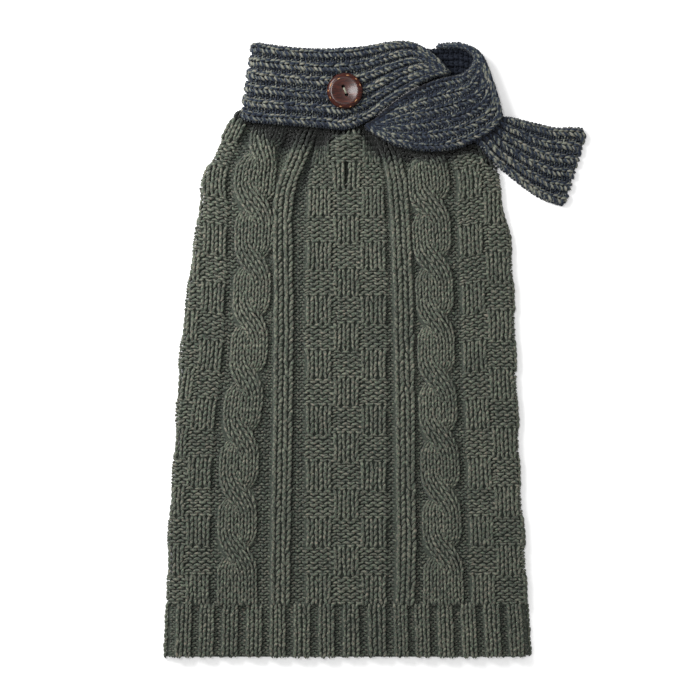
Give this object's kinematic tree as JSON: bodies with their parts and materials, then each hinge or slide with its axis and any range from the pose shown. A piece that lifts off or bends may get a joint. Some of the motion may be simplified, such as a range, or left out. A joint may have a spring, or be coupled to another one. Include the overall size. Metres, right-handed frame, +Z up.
{
  "type": "knitted dog sweater",
  "caption": "Sleeveless knitted dog sweater laid flat, with cables, basket blocks, a ribbed hem, a leash slit and a buttoned scarf collar tucked through itself.",
  "frame": {"origin": "on the surface the sweater lies on, under the middle of the body, half way between the hem and the top of the collar", "axes": "+Y from the hem to the neck, +Z up out of the surface, +X to the right in the view from above with the neck at the top"},
  "size_m": [0.294, 0.431, 0.0169],
  "materials": {
    "sage_wool": "heathered grey-green wool yarn, cable and basket knit",
    "sage_rib": "heathered grey-green wool yarn, two by one rib",
    "sage_belly": "heathered grey-green wool yarn, plain knit",
    "navy_marl": "navy and oatmeal marled wool yarn, ribbed",
    "coconut": "polished dark coconut shell"
  },
  "bodies": {
    "root": {"back_panel": "sage_wool", "hem_rib": "sage_rib", "belly_panel": "sage_belly", "scarf_front": "navy_marl", "scarf_loop": "navy_marl", "scarf_tail": "navy_marl", "scarf_back": "navy_marl", "button": "coconut"}
  },
  "joints": []
}
